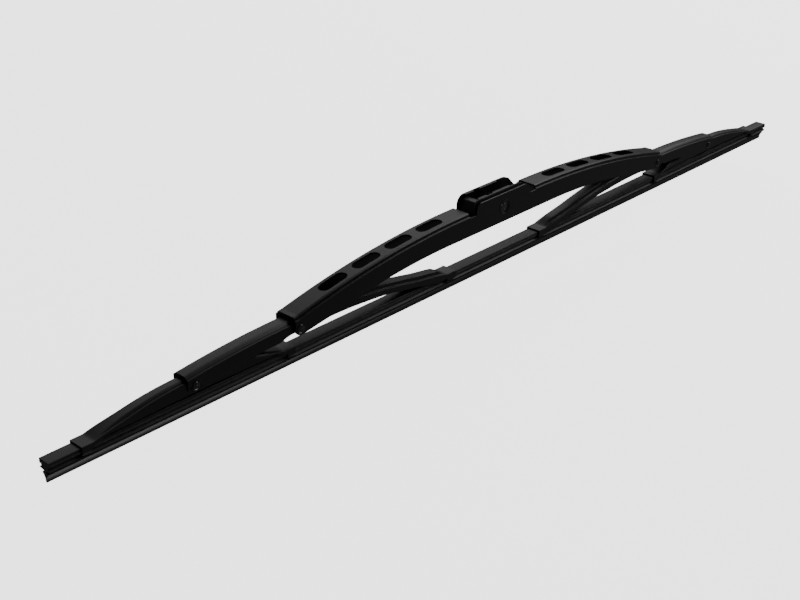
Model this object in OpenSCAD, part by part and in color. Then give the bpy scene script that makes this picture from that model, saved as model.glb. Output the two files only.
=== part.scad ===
// Windscreen wiper blade with a pressed steel linkage and six claws.
// X runs along the blade, Y across it and Z up from the glass. The origin is at
// the tip of the rubber lip, half-way along the blade. The blade is the same on
// both sides of X = 0, apart from the adapter.

/* [Rubber strip] */
// Length of the strip that stands out past the last claw
strip_overhang = 16.45; // [10:0.05:22]
// Height of the strip from the lip's tip to the top of its head
strip_h = 11.36; // [11:0.01:12]
// Width of the strip's head
head_w = 7.7; // [7:0.1:8]
// Thickness of the head, from its top to the claw groove
head_t = 2.6; // [2.4:0.05:2.8]
// Width left between the two claw grooves
groove_core_w = 5.2; // [4.6:0.1:5.6]
// Height of the claw groove
groove_h = 1.2; // [1.1:0.05:1.3]
// Width of the flange under the claw groove
flange_w = 8; // [7:0.1:8.4]
// Width of the hinge neck above the wiping lip
neck_w = 1.4; // [1:0.1:2]
// Width of the lip's shoulder
shoulder_w = 4.6; // [4:0.1:5.4]
// Width of the wiping edge
edge_w = 0.8; // [0.5:0.1:1.2]

/* [Steel rails] */
// Width of one steel rail
rail_w = 2.2; // [1.6:0.1:2.4]
// Thickness of one steel rail
rail_t = 0.8; // [0.6:0.05:0.9]
// Depth of the rail's upper face below the top of the head
rail_drop = 1.3; // [1.1:0.05:1.4]

/* [Claws] */
// Sheet thickness of the four yokes
yoke_sheet = 0.8; // [0.7:0.05:0.9]
// Length of one claw on an end yoke
end_claw_len = 4.9; // [4:0.1:7]
// Length of the claw on a middle yoke
mid_claw_len = 7.2; // [5:0.1:9]
// Reach of a claw's fingers under the head
finger_reach = 0.9; // [0.6:0.05:1]
// Distance of the middle yoke's claw from the centre
mid_claw_x = 40.8; // [36:0.2:46]

/* [Bridge] */
// Outer width of the bridge
bridge_w = 14.84; // [14.84:0.02:16]
// Sheet thickness of the bridge
bridge_sheet = 1; // [0.9:0.05:1]
// Rise of the bridge's crest above the main pivot, at its mouths
mouth_rise = 6.38; // [6.3:0.02:7]
// Half-length of the straight middle of the bridge
bridge_flat = 30; // [29:0.5:36]
// Radius of the bridge's back on each side of the middle
bridge_r = 556; // [540:1:600]
// Width of the ledge beside the raised panel
ledge_w = 1.18; // [1:0.02:1.3]
// Height of the raised panel above the ledge
ledge_step = 1.8; // [1.5:0.05:2]
// Depth of the bridge in the middle, from its crest to its lower edge
belly_depth = 13.3; // [12.5:0.1:14]
// Length of one slot in the bridge's back
slot_len = 18.2; // [14:0.2:20]
// Width of one slot
slot_w = 5.6; // [4:0.1:7]
// Distance between slot centres
slot_pitch = 24; // [22:0.1:25]
// Number of slots on each side
slots_per_side = 4; // [1:1:4]
// Distance of the first slot's centre from the middle
first_slot_x = 54.1; // [52:0.1:56]

/* [Centre window] */
// Length of the window in the bridge's back
window_len = 58; // [56:0.5:60]
// Length of the raised cheeks beside the window
cheek_len = 47.2; // [44:0.1:50]
// Rise of the cheeks above the bridge's crest
cheek_rise = 4.2; // [3:0.1:5]
// Corner radius of the cheeks
cheek_r = 4; // [2:0.5:5]

/* [Centre pin] */
// Diameter of the centre pin
pin_d = 5; // [4:0.1:6]
// Depth of the centre pin below the bridge's crest
pin_drop = 4.2; // [3.5:0.1:5]
// Diameter of the dished seat round the pin's head
dish_d = 9.6; // [8.4:0.1:11]

/* [Pivots] */
// Distance of the main pivots from the centre
main_pivot_x = 156; // [150:0.5:160]
// Height of the main pivots above the tip pivots
main_lift = 5.6; // [5.4:0.1:6.4]
// Diameter of the main rivet's shank
main_rivet_d = 3; // [2.5:0.1:3.4]
// Diameter of the main rivet's head
main_head_d = 4.6; // [4.2:0.1:5.2]
// Distance of the tip pivots from the centre
tip_pivot_x = 220.6; // [216:0.2:224]
// Height of the tip pivots above the strip
tip_lift = 5.54; // [5.4:0.02:6]
// Diameter of the tip rivet's shank
tip_rivet_d = 2.4; // [2:0.1:2.6]
// Diameter of the tip rivet's head
tip_head_d = 4.2; // [3.8:0.1:4.6]

/* [Middle yokes] */
// Outer width of a middle yoke at its pivots
mid_w = 11.1; // [10.9:0.02:11.12]
// Height of a middle yoke's crest above the main pivot
mid_back = 4.4; // [4.2:0.05:4.5]
// Distance of that crest from the centre
mid_top_x = 155; // [152:0.5:158]
// Radius of its outer arm's back
mid_outer_r = 560; // [540:1:600]
// Radius of its inner arm's back
mid_inner_r = 425; // [420:1:432]

/* [End yokes] */
// Outer width of an end yoke at its pivot
end_w = 8; // [7.6:0.02:8.04]
// Height of an end yoke's crest above its pivot
end_back = 3.8; // [3.6:0.05:3.9]
// Radius of its back
end_r = 190; // [186:1:196]
// Distance from its pivot to the middle of each claw
end_arm = 60.5; // [59.5:0.1:61.5]

/* [Adapter] */
// Length of the adapter
adapter_len = 50.6; // [46:0.2:52]
// Rise of the adapter above the bridge's crest
adapter_rise = 5.7; // [5:0.1:8]
// Thickness of the adapter's cheeks
adapter_wall = 0.9; // [0.8:0.05:1.1]
// Width of the hook's channel between the cheeks
hook_w = 9.3; // [9.1:0.1:9.6]
// Outer diameter of the hub that the hook turns round
hub_d = 10; // [8.5:0.1:10.4]

/* [Fits] */
// Radial clearance of every pin and rivet
pin_fit = 0.05; // [0.02:0.01:0.1]
// Clearance between a claw and the strip
claw_gap = 0.1; // [0.05:0.01:0.15]
// Running clearance between a yoke and its liner
liner_gap = 0.07; // [0.05:0.01:0.1]
// Clearance between a liner or the adapter and the sheet beside it
seat_gap = 0.02; // [0.01:0.01:0.05]
// Side clearance of the adapter in the bridge
adapter_gap = 0.1; // [0.08:0.01:0.15]

/* [Hidden] */

// Faces of the bores, pins and long curves
round_fn = 48;
sweep_fn = 720;
// Overshoot of a cut past the face that it opens
over = 1;

// Radius of the steel round the pivots
main_ear_r = 3.2;
tip_ear_r = 2.6;

// Heights of the linkage, from the strip up to the adapter
tip_pivot_z = strip_h + tip_lift;
end_top = tip_pivot_z + end_back;
main_pivot_z = tip_pivot_z + main_lift;
mid_top = main_pivot_z + mid_back;
bridge_end = main_pivot_x + main_ear_r;
bridge_top = main_pivot_z + mouth_rise + arc_drop(bridge_end - bridge_flat, bridge_r);
belly_z = bridge_top - belly_depth;
cheek_top = bridge_top + cheek_rise;
pin_z = bridge_top - pin_drop;
adapter_top = bridge_top + adapter_rise;
strip_len = 2 * (tip_pivot_x + end_arm + end_claw_len / 2 + strip_overhang);

// Strip levels, from the head down to the lip
head_floor = strip_h - head_t;
groove_floor = head_floor - groove_h;
flange_z = groove_floor - 0.75;
flange_edge = 0.3;
neck_z = flange_z - flange_edge - 0.6;
shoulder_z = neck_z - 0.75;
shoulder_edge = 0.5;
head_corner = 0.4;

// Claws and yokes
claw_half = head_w / 2 + claw_gap + yoke_sheet;
claw_top = strip_h + claw_gap / 2 + yoke_sheet;
finger_t = groove_h - 0.4;
finger_top = head_floor - claw_gap;
claw_floor = finger_top - finger_t;
crown_steps = 4;
yoke_ledge = 0.95;
yoke_corner = 0.45;
yoke_thin = 0.2;
mid_rise = 1.5;
end_rise = 1.2;

// Bridge
bridge_half = bridge_w / 2;
bridge_in = bridge_half - bridge_sheet;
panel_half = bridge_half - ledge_w;
panel_r = 0.8;
wall_depth = 15;
sill_drop = 0.5;
belly_flat = 45;
belly_r = 450;
belly_knee = 100;
mouth_overhang = 4.4;

// Liners and rivets
main_liner_len = 7;
tip_liner_len = 7.4;
liner_lip = 0.4;
liner_roof = 0.25;
roof_gap = 0.1;
liner_t = bridge_in - mid_w / 2 - liner_gap - seat_gap;
tip_liner_t = mid_w / 2 - yoke_sheet - end_w / 2 - liner_gap - seat_gap;
head_h = 0.9;
dish_depth = 0.6;

// Colours of the finishes
satin_black = [0.06, 0.06, 0.065];
plastic_black = [0.03, 0.03, 0.03];
rubber_black = [0.09, 0.09, 0.095];
steel_dark = [0.2, 0.2, 0.21];

// How far a circle of radius r falls away at distance d from its top
function arc_drop(d, r) = r - sqrt(r * r - d * d);
function bridge_crest(x) = bridge_top - arc_drop(max(abs(x) - bridge_flat, 0), bridge_r);
function belly(x) = belly_z - arc_drop(max(abs(x) - belly_flat, 0), belly_r);
// Rounded to what both kinds of extrusion hold exactly, so that their ends meet
function exact(v) = round(v * 1000) / 1000;
function smooth(t) = let (c = min(max(t, 0), 1)) c * c * (3 - 2 * c);
function mix(a, b, t) = a + (b - a) * min(max(t, 0), 1);
function arc_points(c, r, from, to, steps) =
    [for (i = [0:steps]) let (a = from + (to - from) * i / steps) c + r * [cos(a), sin(a)]];

// Middle yoke, as functions of the distance from the centre
mid_claw_out = mid_claw_x + mid_claw_len / 2;
mid_claw_in = mid_claw_x - mid_claw_len / 2;
function mid_arc(x) = mid_top - (x > mid_top_x ? arc_drop(x - mid_top_x, mid_outer_r)
                                               : arc_drop(mid_top_x - x, mid_inner_r));
function mid_crest(x) = x < mid_claw_out ? claw_top : max(claw_top, mid_arc(x));
function mid_half(x) = mix(claw_half, mid_w / 2, (x - mid_claw_out) / (main_pivot_x - mid_claw_out - 8));
function mid_crown(x) = mid_rise * smooth((x - mid_claw_out) / 26);
function mid_floor(x) = lookup(x, [
    [mid_claw_out, claw_floor + 0.15], [mid_claw_out + 0.7, strip_h - 1.6],
    [mid_claw_out + 4, claw_top - 2.6], [mid_claw_out + 14, claw_top - 1.2],
    [mid_claw_out + 50, main_pivot_z - 4.7],
    [main_pivot_x - 44, main_pivot_z - 3], [main_pivot_x - 26, main_pivot_z - 2.1],
    [main_pivot_x + 5, main_pivot_z - 2.2], [main_pivot_x + 11, main_pivot_z - 3.9],
    [main_pivot_x + 22, main_pivot_z - 4.1], [tip_pivot_x - 32, tip_pivot_z + 0.3],
    [tip_pivot_x - 2, tip_pivot_z - tip_ear_r + 0.1], [tip_pivot_x + tip_ear_r, tip_pivot_z]]);
mid_stations = [mid_claw_in, mid_claw_out, for (d = [0.7, 2, 4, 8, 14, 20, 26, 34, 42, 50]) mid_claw_out + d,
                for (d = [44, 35, 26, 17, 8, 0]) main_pivot_x - d, for (d = [5, 8, 11, 22]) main_pivot_x + d,
                for (d = [32, 22, 12, 6, 2]) tip_pivot_x - d, tip_pivot_x + tip_ear_r,
                tip_pivot_x + mouth_overhang];

// End yoke, as functions of the distance from its pivot
end_claw_in = end_arm - end_claw_len / 2;
end_claw_out = end_arm + end_claw_len / 2;
function end_crest(d) = d > end_claw_in ? claw_top : max(claw_top, end_top - arc_drop(d, end_r));
function end_half(d) = mix(end_w / 2, claw_half, (d - 10) / (end_claw_in - 14));
function end_crown(d) = end_rise * smooth((end_claw_in - d) / 22);
function end_floor(d) = lookup(d, [
    [0, tip_pivot_z - 4.4], [end_claw_in - 7, strip_h + 1.1], [end_claw_in - 4, strip_h - 0.4],
    [end_claw_in - 0.7, strip_h - 1.6], [end_claw_in, claw_floor + 0.15]]);
end_side = [0, 7, 14, 21, 28, 35, 41, 46, 50, 54, end_claw_in - 2, end_claw_in - 0.7, end_claw_in,
            end_claw_out];
end_stations = [for (i = [len(end_side) - 1:-1:1]) -end_side[i], for (d = end_side) d];

// Half of a yoke's section as [y, z], from the bottom of the wall up to the crown
function yoke_outer(w, ledge, rise, floor_z) = concat(
    [[w, floor_z], [w, ledge - yoke_corner], [w - 0.3 * yoke_corner, ledge - 0.3 * yoke_corner],
     [w - yoke_corner, ledge]],
    [for (i = [crown_steps:-1:1]) [(w - yoke_ledge) * i / crown_steps,
                                   ledge + rise * cos(90 * i / crown_steps)]]);
function yoke_inner(w, ledge, rise, floor_z) =
    let (v = w - yoke_sheet, top = ledge - yoke_sheet, soft = 0.25) concat(
    [[v, floor_z], [v, top - soft], [v - 0.3 * soft, top - 0.3 * soft], [v - soft, top]],
    [for (i = [crown_steps:-1:1]) [(w - yoke_ledge - yoke_thin) * i / crown_steps,
                                   top + rise * cos(90 * i / crown_steps)]]);
function flip(points) = [for (i = [len(points) - 1:-1:0]) [-points[i][0], points[i][1]]];
function back(points) = [for (i = [len(points) - 1:-1:0]) points[i]];
function yoke_ring(w, crest, rise, floor_z) =
    let (ledge = crest - rise,
         bottom = min(floor_z, ledge - yoke_sheet - 0.5),
         outer = yoke_outer(w, ledge, rise, bottom),
         inner = yoke_inner(w, ledge, rise, bottom))
    concat(outer, [[0, crest]], flip(outer),
           back(flip(inner)), [[0, crest - yoke_sheet]], back(inner));

// A channel carried along X through the given rings, closed at both ends. A ring runs over
// the outside and back along the inside, with as many points on each.
module skin(xs, rings) {
    n = len(rings[0]);
    last = len(xs) - 1;
    points = [for (s = [0:last]) for (p = rings[s]) [xs[s], p[0], p[1]]];
    sides = [for (s = [0:last - 1]) for (j = [0:n - 1])
             let (a = s * n + j, b = s * n + (j + 1) % n)
             each [[a, b + n, b], [a, a + n, b + n]]];
    caps = [for (i = [0:n / 2 - 2]) let (q = [i, i + 1, n - 2 - i, n - 1 - i], e = last * n)
            each [q, [for (k = [3:-1:0]) e + q[k]]]];
    polyhedron(points, concat(sides, caps));
}

// A plain round bar or bore across the blade
module across(x, z, d, length) {
    translate([x, 0, z]) rotate([90, 0, 0]) cylinder(d = d, h = length, center = true, $fn = round_fn);
}

// An outline in X and Z, carried across the blade from y = a to y = b
module side_plate(a, b) {
    translate([0, b, 0]) rotate([90, 0, 0]) linear_extrude(b - a) children();
}

// The same plate on both walls
module both_walls(a, b) {
    side_plate(a, b) children();
    side_plate(-b, -a) children();
}

// The two fingers of a claw, turned in under the head
module fingers(x, length) {
    reach = head_w / 2 - finger_reach;
    wide = claw_half - 0.15 - reach;
    for (y = [reach, -reach - wide]) translate([x - length / 2, y, claw_floor])
        cube([length, wide, finger_t]);
}

// Steel bridge

// Section of the bridge, measured across and up from its crest
module bridge_section(lift) {
    soft = 0.6;
    top = concat([[bridge_half, -wall_depth]],
                 arc_points([bridge_half - soft, -ledge_step - soft], soft, 0, 90, 3),
                 arc_points([panel_half - panel_r, -panel_r], panel_r, 0, 90, 4));
    under = [[bridge_in, -wall_depth], [bridge_in, -ledge_step - bridge_sheet],
             [panel_half - bridge_sheet, -ledge_step - bridge_sheet],
             [panel_half - bridge_sheet, -bridge_sheet]];
    ring = concat(top, flip(top), [for (p = under) [-p[0], p[1]]],
                  [for (i = [len(under) - 1:-1:0]) under[i]]);
    polygon([for (p = ring) [lift + exact(p[1]), exact(p[0])]]);
}

module bridge_sweep() {
    turn = 14;
    translate([-bridge_flat, 0, 0]) rotate([0, 90, 0]) linear_extrude(2 * bridge_flat)
        rotate(180) bridge_section(exact(bridge_top));
    for (side = [0, 1]) mirror([side, 0, 0])
        translate([bridge_flat, 0, exact(bridge_top) - bridge_r]) rotate([0, -90, -90])
            rotate_extrude(angle = turn, $fn = sweep_fn) bridge_section(bridge_r);
}

// Side view of the bridge: level in the middle, hollow towards the ears
module bridge_outline() {
    sky = bridge_top + 10;
    half = [[bridge_end, sky], [bridge_end, main_pivot_z], [main_pivot_x, main_pivot_z - main_ear_r],
            [main_pivot_x - 5, main_pivot_z - 2.5],
            for (x = [belly_knee:-5:belly_flat]) [x, belly(x)]];
    polygon(concat(half, flip(half)));
    for (side = [-1, 1]) translate([side * main_pivot_x, main_pivot_z]) circle(main_ear_r, $fn = round_fn);
}

module cheek_outline() {
    low = belly_z + 4;
    half = cheek_len / 2;
    nose = cheek_top - bridge_top + ledge_step;
    polygon(concat([[-half, low], [half, low]],
                   arc_points([half - nose, cheek_top - nose], nose, 0, 90, 12),
                   arc_points([cheek_r - half, cheek_top - cheek_r], cheek_r, 90, 180, 10)));
}

module slot_outline() {
    square([slot_len - slot_w, slot_w], center = true);
    for (side = [-1, 1]) translate([side * (slot_len - slot_w) / 2, 0]) circle(d = slot_w, $fn = round_fn);
}

module primary_bridge() {
    color(satin_black) difference() {
        union() {
            difference() {
                intersection() {
                    bridge_sweep();
                    side_plate(-bridge_half, bridge_half) bridge_outline();
                }
                translate([-window_len / 2, -bridge_in, bridge_top - ledge_step - bridge_sheet - over])
                    cube([window_len, 2 * bridge_in, 10]);
                translate([-window_len / 2, -bridge_w, bridge_top - ledge_step - sill_drop])
                    cube([window_len, 2 * bridge_w, 10]);
            }
            both_walls(bridge_in, bridge_half) cheek_outline();
        }
        for (side = [-1, 1]) for (i = [0:slots_per_side - 1])
            translate([side * (first_slot_x + i * slot_pitch), 0, main_pivot_z + 5])
                linear_extrude(bridge_top) slot_outline();
        across(0, pin_z, pin_d + 2 * pin_fit, bridge_w + over);
        for (side = [-1, 1])
            across(side * main_pivot_x, main_pivot_z, main_rivet_d + 2 * pin_fit, bridge_w + over);
        for (turn = [90, -90]) translate([0, 0, pin_z]) rotate([turn, 0, 0])
            translate([0, 0, bridge_half - dish_depth])
                cylinder(d1 = dish_d - 2.2, d2 = dish_d, h = dish_depth + 0.01, $fn = round_fn);
    }
}

// Pin and rivets

// A pin with a domed head on each end, turned about its own axis
module headed_pin(d, length, head_d, head_height, flat) {
    dome = [for (i = [0:4]) let (a = 90 * i / 4)
            [flat / 2 + (head_d - flat) / 2 * cos(a), length / 2 + head_height * sin(a)]];
    half = concat([[d / 2, 0], [d / 2, length / 2]], dome, [[0, length / 2 + head_height]]);
    rotate([90, 0, 0]) rotate_extrude($fn = round_fn)
        polygon(concat([[0, -length / 2 - head_height]],
                       [for (i = [len(half) - 2:-1:1]) [half[i][0], -half[i][1]]],
                       [for (i = [1:len(half) - 1]) half[i]]));
}

module centre_pin() {
    color(steel_dark) translate([0, 0, pin_z])
        headed_pin(pin_d, bridge_w - 2 * dish_depth, dish_d - 2.6, dish_depth - 0.1, 3.2);
}

module main_rivet() {
    color(satin_black) translate([main_pivot_x, 0, main_pivot_z])
        headed_pin(main_rivet_d, bridge_w, main_head_d, head_h, 0.6);
}

module tip_rivet() {
    color(satin_black) translate([tip_pivot_x, 0, tip_pivot_z])
        headed_pin(tip_rivet_d, mid_w, tip_head_d, head_h, 0.6);
}

// Plastic liners: stirrups that stand between two channels at a pivot

// Carries a section back from a mouth, along the slope of the back there
module from_mouth(x, z, slope, length) {
    translate([x, 0, z]) rotate([0, slope, 0]) translate([liner_lip - length, 0, 0])
        rotate([90, 0, 90]) linear_extrude(length) children();
}

module stirrup_section(outer, inner) {
    polygon(concat(outer, flip(outer), back(flip(inner)), back(inner)));
}

module main_liner() {
    ledge = -ledge_step - bridge_sheet - roof_gap;
    side = bridge_in - seat_gap;
    rise = panel_half - bridge_sheet - roof_gap;
    depth = bridge_crest(bridge_end) - main_pivot_z + main_ear_r - 0.5;
    slope = asin((bridge_end - bridge_flat) / bridge_r);
    color(plastic_black) difference() {
        from_mouth(bridge_end, bridge_crest(bridge_end), slope, main_liner_len)
            stirrup_section(
                [[side, -depth], [side, ledge], [rise, ledge], [rise, -bridge_sheet - roof_gap]],
                [[side - liner_t, -depth], [side - liner_t, ledge - liner_roof],
                 [rise - liner_roof, ledge - liner_roof],
                 [rise - liner_roof, -bridge_sheet - roof_gap - liner_roof]]);
        across(main_pivot_x, main_pivot_z, main_rivet_d + 2 * pin_fit, bridge_w);
    }
}

module tip_liner() {
    mouth = tip_pivot_x + mouth_overhang;
    side = mid_w / 2 - yoke_sheet - seat_gap;
    ledge = -mid_rise - yoke_sheet - roof_gap;
    depth = mid_crest(mouth) - tip_pivot_z + tip_ear_r - 0.6;
    roof = function(half, top, rise) [for (i = [crown_steps:-1:0])
        [half * i / crown_steps, top + rise * cos(90 * i / crown_steps)]];
    color(plastic_black) difference() {
        from_mouth(mouth, mid_crest(mouth), asin((mouth - mid_top_x) / mid_outer_r), tip_liner_len)
            stirrup_section(
                concat([[side, -depth], [side, ledge - 0.3]], roof(side - 0.35, ledge, mid_rise)),
                concat([[side - tip_liner_t, -depth], [side - tip_liner_t, ledge - liner_roof - 0.1]],
                       roof(side - tip_liner_t - 0.1, ledge - liner_roof, mid_rise)));
        across(tip_pivot_x, tip_pivot_z, tip_rivet_d + 2 * pin_fit, bridge_w);
    }
}

// Steel yokes

module middle_yoke() {
    color(satin_black) difference() {
        union() {
            skin(mid_stations, [for (x = mid_stations)
                 yoke_ring(mid_half(x), mid_crest(x), mid_crown(x), mid_floor(x))]);
            fingers(mid_claw_x, mid_claw_len);
            both_walls(mid_w / 2 - yoke_sheet, mid_w / 2) {
                translate([main_pivot_x, main_pivot_z]) circle(tip_ear_r, $fn = round_fn);
                translate([tip_pivot_x, tip_pivot_z]) circle(tip_ear_r, $fn = round_fn);
            }
        }
        across(main_pivot_x, main_pivot_z, main_rivet_d + 2 * pin_fit, bridge_w);
        across(tip_pivot_x, tip_pivot_z, tip_rivet_d + 2 * pin_fit, bridge_w);
    }
}

module end_yoke() {
    color(satin_black) difference() {
        union() {
            translate([tip_pivot_x, 0, 0]) skin(end_stations, [for (x = end_stations)
                let (d = abs(x)) yoke_ring(end_half(d), end_crest(d), end_crown(d), end_floor(d))]);
            for (side = [-1, 1]) fingers(tip_pivot_x + side * end_arm, end_claw_len);
        }
        across(tip_pivot_x, tip_pivot_z, tip_rivet_d + 2 * pin_fit, bridge_w);
    }
}

// Rubber strip and its steel rails

module strip_section() {
    half = concat(
        arc_points([head_w / 2 - head_corner, strip_h - head_corner], head_corner, 90, 0, 3),
        [[head_w / 2, strip_h - rail_drop], [head_w / 2 - rail_w, strip_h - rail_drop],
         [head_w / 2 - rail_w, strip_h - rail_drop - rail_t], [head_w / 2, strip_h - rail_drop - rail_t],
         [head_w / 2, head_floor], [groove_core_w / 2, head_floor], [groove_core_w / 2, groove_floor],
         [flange_w / 2, flange_z], [flange_w / 2, flange_z - flange_edge],
         [neck_w / 2, neck_z + 0.2], [neck_w / 2, neck_z - 0.2],
         [shoulder_w / 2, shoulder_z], [shoulder_w / 2, shoulder_z - shoulder_edge],
         [edge_w / 2 + 0.85, 2], [edge_w / 2, 0.3], [edge_w / 2, 0]]);
    polygon(concat(half, flip(half)));
}

module rubber_strip() {
    color(rubber_black) translate([-strip_len / 2, 0, 0]) rotate([90, 0, 90])
        linear_extrude(strip_len) strip_section();
}

module rail() {
    color(steel_dark) translate([-strip_len / 2, head_w / 2 - rail_w, strip_h - rail_drop - rail_t])
        cube([strip_len, rail_w, rail_t]);
}

// Adapter that the wiper arm's hook is pushed into

module adapter_outline() {
    low = pin_z - hub_d / 2 + 0.5;
    half = adapter_len / 2;
    back_r = 5.5;
    nose = 9.5;
    polygon(concat(
        [[-half + 5, low], [half - 7, low], [half, low + 5], [half, adapter_top - 7.4],
         [half - 1.8, adapter_top - 5.9], [half - 4.5, adapter_top - 3.2], [half - 6.3, adapter_top - 1.7],
         [half - 7.9, adapter_top - 0.8], [half - nose, adapter_top - 0.2], [half - nose - 2, adapter_top]],
        arc_points([back_r - half, adapter_top - back_r], back_r, 90, 180, 8),
        [[-half, low + 5]]));
}

// Thicker stretches of the cheeks, between which the hook is held
module hook_pads() {
    for (span = [[-20, 7], [-8, 15]])
        translate([span[0], pin_z + 2]) square([span[1], adapter_top - pin_z - 2.1]);
}

// Ramp at the back that leads the hook down round the hub
module hook_ramp() {
    back_x = -adapter_len / 2;
    polygon([[back_x + 0.5, pin_z], [back_x, pin_z + 5], [back_x + 3.4, adapter_top - 2.4],
             [back_x + 6, adapter_top - 1.4], [back_x + 10, adapter_top - 4],
             [back_x + 10.3, adapter_top - 6.9], [back_x + 8, pin_z]]);
}

module adapter() {
    out = bridge_in - adapter_gap;
    color(plastic_black) difference() {
        union() {
            both_walls(out - adapter_wall, out) adapter_outline();
            both_walls(hook_w / 2, out - adapter_wall + 0.2) hook_pads();
            across(0, pin_z, hub_d, 2 * out - 0.4);
            side_plate(0.2 - out, out - 0.2) hook_ramp();
        }
        across(0, pin_z, pin_d + 2 * pin_fit, bridge_w);
    }
}

module mirrored(side) {
    mirror([side == "left" ? 1 : 0, 0, 0]) children();
}

primary_bridge();
centre_pin();
adapter();
mirrored("left") main_rivet();  // left_main_rivet
mirrored("right") main_rivet();  // right_main_rivet
mirrored("left") main_liner();  // left_main_liner
mirrored("right") main_liner();  // right_main_liner
mirrored("left") middle_yoke();  // left_middle_yoke
mirrored("right") middle_yoke();  // right_middle_yoke
mirrored("left") tip_rivet();  // left_tip_rivet
mirrored("right") tip_rivet();  // right_tip_rivet
mirrored("left") tip_liner();  // left_tip_liner
mirrored("right") tip_liner();  // right_tip_liner
mirrored("left") end_yoke();  // left_end_yoke
mirrored("right") end_yoke();  // right_end_yoke
rubber_strip();
mirror([0, 1, 0]) rail();  // front_rail
rail();  // rear_rail
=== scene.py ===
import math

import bmesh
import bpy
import numpy as np
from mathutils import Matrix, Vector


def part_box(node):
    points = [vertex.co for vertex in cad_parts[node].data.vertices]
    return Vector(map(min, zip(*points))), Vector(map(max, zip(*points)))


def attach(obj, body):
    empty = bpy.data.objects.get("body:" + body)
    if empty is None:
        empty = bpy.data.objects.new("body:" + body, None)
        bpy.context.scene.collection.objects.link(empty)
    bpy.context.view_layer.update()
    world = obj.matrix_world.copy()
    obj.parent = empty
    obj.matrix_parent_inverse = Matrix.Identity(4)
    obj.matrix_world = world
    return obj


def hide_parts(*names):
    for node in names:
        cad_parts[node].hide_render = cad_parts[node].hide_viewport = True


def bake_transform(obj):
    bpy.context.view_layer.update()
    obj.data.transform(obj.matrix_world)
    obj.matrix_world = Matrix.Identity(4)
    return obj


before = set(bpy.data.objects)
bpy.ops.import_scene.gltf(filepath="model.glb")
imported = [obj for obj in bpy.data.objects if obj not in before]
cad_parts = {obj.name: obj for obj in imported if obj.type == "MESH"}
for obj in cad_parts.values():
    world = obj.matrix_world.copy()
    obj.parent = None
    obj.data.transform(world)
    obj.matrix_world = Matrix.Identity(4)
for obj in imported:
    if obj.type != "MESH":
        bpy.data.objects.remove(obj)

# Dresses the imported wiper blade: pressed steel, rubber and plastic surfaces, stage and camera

bl_info = {
    "name": "Wiper Blade",
    "version": (1, 0, 0),
    "blender": (4, 5, 0),
    "location": "View3D > Sidebar > Wiper",
    "description": "Builds the visible surfaces of a framed windscreen wiper blade",
    "category": "Add Mesh",
}

MM = 0.001
BOX = {name: np.array([list(corner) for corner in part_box(name)]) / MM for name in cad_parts}
SIDES = (("left", -1.0), ("right", 1.0))

# Heights and distances of the solids, in millimetres from the lip's tip at mid-length
BRIDGE_END = 159.2
BRIDGE_FLAT = 30.0
BRIDGE_R = 556.0
BRIDGE_HALF = 7.42
BRIDGE_DEPTH = 13.3
MOUTH_RISE = 6.38
LIP_START = 156.4
LIP_SLOPE = 0.12
LEDGE_DROP = 1.8
EAR_START = 154.0
EAR_R = 3.2
TIP_EAR_R = 2.6
MAIN_PIVOT = (156.0, 22.5)
TIP_PIVOT = (220.6, 16.9)
PIN_Z = 39.9
WINDOW = 29.0  # half length of the opening in the panel
CHEEK = 23.6
CHEEK_RISE = 4.2
CHEEK_CORNERS = (4.0, 6.0)
SILL_DROP = 2.3
SLOT_FIRST, SLOT_PITCH, SLOTS = 54.1, 24.0, 4
STRIP_H = 11.36
STRIP_HALF = BOX["rubber_strip"][1][0]
YOKE_HALF = 5.55
CLAW_HALF = 4.75
MID_CLAW = (37.2, 44.4)  # start and end along the blade
END_CLAW = (58.05, 62.95)  # the same, from the tip rivet
CLAW_TOP = 12.21
CLAW_FLOOR = 7.86  # lower face of the fingers
CLAW_BEND = 0.5
FINGER_TIP = 2.95  # distance from the middle plane

# Stretches of the strip on one side of the middle: name, start, end and the two bodies it lies between, or
# none where it rides on the end yoke
STRETCHES = (("centre", 0.0, 40.8, ("bridge", "{}_middle")), ("arm", 40.8, 160.1, ("{}_middle", "{}_end")),
             ("tip", 160.1, STRIP_HALF, None))

# Millimetres within which points of a small turned or moulded piece are merged
FINE_WELD = 0.002


class Sizes(bpy.types.PropertyGroup):
    """Sizes of the visible surfaces that a user may change."""

    bridge_sheet: bpy.props.FloatProperty(
        name="Bridge sheet", description="Thickness of the bridge's steel sheet",
        default=1.0 * MM, min=0.6 * MM, max=1.4 * MM, unit="LENGTH", precision=5)
    yoke_sheet: bpy.props.FloatProperty(
        name="Yoke sheet", description="Thickness of the yokes' steel sheet",
        default=0.8 * MM, min=0.5 * MM, max=1.1 * MM, unit="LENGTH", precision=5)
    panel_radius: bpy.props.FloatProperty(
        name="Panel edge", description="Radius along both edges of the bridge's raised panel",
        default=1.1 * MM, min=0.3 * MM, max=1.3 * MM, unit="LENGTH", precision=5)
    ledge_radius: bpy.props.FloatProperty(
        name="Ledge edge", description="Radius along the outer edge of the bridge's ledge",
        default=0.45 * MM, min=0.1 * MM, max=0.8 * MM, unit="LENGTH", precision=5)
    yoke_radius: bpy.props.FloatProperty(
        name="Yoke edge", description="Radius along the outer edges of the yokes",
        default=0.28 * MM, min=0.1 * MM, max=0.7 * MM, unit="LENGTH", precision=5)
    burr: bpy.props.FloatProperty(
        name="Cut edge", description="Rounding of the blanked edges of the steel",
        default=0.24 * MM, min=0.0, max=0.35 * MM, unit="LENGTH", precision=5)
    camera_lens: bpy.props.FloatProperty(
        name="Lens", description="Focal length of the camera on a 36 mm sensor",
        default=60.14, min=20.0, max=200.0, unit="CAMERA")


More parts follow.
